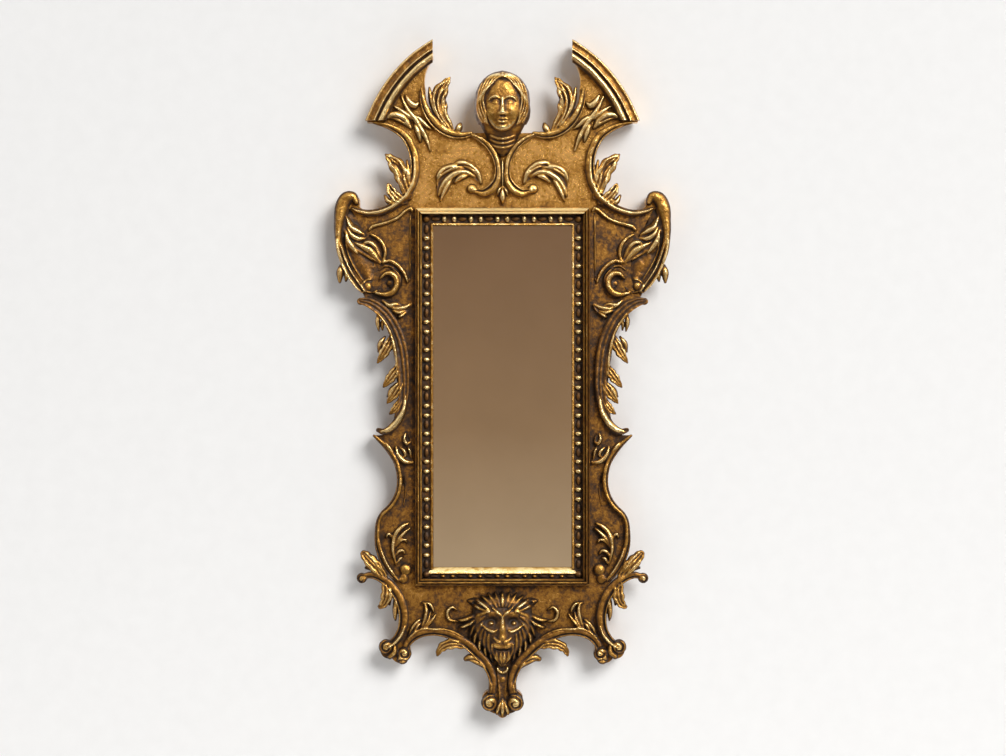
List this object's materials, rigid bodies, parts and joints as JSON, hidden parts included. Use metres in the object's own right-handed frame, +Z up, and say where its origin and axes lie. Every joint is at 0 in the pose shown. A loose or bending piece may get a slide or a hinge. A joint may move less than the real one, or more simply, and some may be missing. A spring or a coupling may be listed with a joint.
{
  "type": "carved gilt wall mirror",
  "caption": "Tall carved and gilded baroque wall mirror with a broken-pediment crest, a head and a lion mask, beaded sight moulding, hinged hanger rings and turn buttons on the back.",
  "frame": {"origin": "on the wall plane, midway between the two hanger rings at the height of their hinge axis", "axes": "+Z up, +Y into the wall, +X to the right as the mirror is seen from the front"},
  "size_m": [0.337, 0.052, 0.675],
  "materials": {
    "gilt_wood": "antiqued gold leaf",
    "mirror_glass": "silvered",
    "card": "plain grey-brown card",
    "bare_wood": "unfinished pine",
    "brass": "lacquered",
    "steel": "zinc plated",
    "felt": "pressed felt"
  },
  "bodies": {
    "frame": {"apron_board": "gilt_wood", "backboard": "bare_wood", "backing_card": "card", "bead_strip_bottom": "gilt_wood", "bead_strip_left": "gilt_wood", "bead_strip_right": "gilt_wood", "bead_strip_top": "gilt_wood", "crest_board": "gilt_wood", "crest_drop": "gilt_wood", "crest_mask": "gilt_wood", "hanger_screws": "steel", "joint_dowels": "bare_wood", "left_apron_scroll": "gilt_wood", "left_crest_leaf": "gilt_wood", "left_crest_scroll": "gilt_wood", "left_ear": "gilt_wood", "left_ear_carving": "gilt_wood", "left_flank_scroll": "gilt_wood", "left_foot_scroll": "gilt_wood", "left_hanger_strap": "brass", "left_horn": "gilt_wood", "left_horn_cornice": "gilt_wood", "left_horn_sprig": "gilt_wood", "left_knee": "gilt_wood", "left_knee_carving": "gilt_wood", "left_neck_scroll": "gilt_wood", "left_stile": "gilt_wood", "lion_mask": "gilt_wood", "mirror_plate": "mirror_glass", "pendant": "gilt_wood", "right_apron_scroll": "gilt_wood", "right_crest_leaf": "gilt_wood", "right_crest_scroll": "gilt_wood", "right_ear": "gilt_wood", "right_ear_carving": "gilt_wood", "right_flank_scroll": "gilt_wood", "right_foot_scroll": "gilt_wood", "right_hanger_strap": "brass", "right_horn": "gilt_wood", "right_horn_cornice": "gilt_wood", "right_horn_sprig": "gilt_wood", "right_knee": "gilt_wood", "right_knee_carving": "gilt_wood", "right_neck_scroll": "gilt_wood", "right_stile": "gilt_wood", "sight_moulding_bottom": "gilt_wood", "sight_moulding_left": "gilt_wood", "sight_moulding_right": "gilt_wood", "sight_moulding_top": "gilt_wood", "turn_button_screws": "steel", "wall_bumpers": "felt"},
    "left_hanger_ring": {"left_hanger_ring": "steel"},
    "left_lower_turn_button": {"left_lower_turn_button": "brass"},
    "left_upper_turn_button": {"left_upper_turn_button": "brass"},
    "right_hanger_ring": {"right_hanger_ring": "steel"},
    "right_lower_turn_button": {"right_lower_turn_button": "brass"},
    "right_upper_turn_button": {"right_upper_turn_button": "brass"}
  },
  "joints": [
    {"name": "left_hanger_ring_swing", "type": "hinge", "parent": "frame", "child": "left_hanger_ring", "pos_m": [-0.0875, -0.00327, 0], "axis": [-1, 0, 0], "range_deg": [0, 170]},
    {"name": "left_lower_turn_button_turn", "type": "hinge", "parent": "frame", "child": "left_lower_turn_button", "pos_m": [-0.0875, -0.00505, -0.22102], "axis": [0, 1, 0], "continuous": true},
    {"name": "left_upper_turn_button_turn", "type": "hinge", "parent": "frame", "child": "left_upper_turn_button", "pos_m": [-0.0875, -0.00505, -0.07098], "axis": [0, 1, 0], "continuous": true},
    {"name": "right_hanger_ring_swing", "type": "hinge", "parent": "frame", "child": "right_hanger_ring", "pos_m": [0.0875, -0.00327, 0], "axis": [-1, 0, 0], "range_deg": [0, 170]},
    {"name": "right_lower_turn_button_turn", "type": "hinge", "parent": "frame", "child": "right_lower_turn_button", "pos_m": [0.0875, -0.00505, -0.22102], "axis": [0, 1, 0], "continuous": true},
    {"name": "right_upper_turn_button_turn", "type": "hinge", "parent": "frame", "child": "right_upper_turn_button", "pos_m": [0.0875, -0.00505, -0.07098], "axis": [0, 1, 0], "continuous": true}
  ]
}
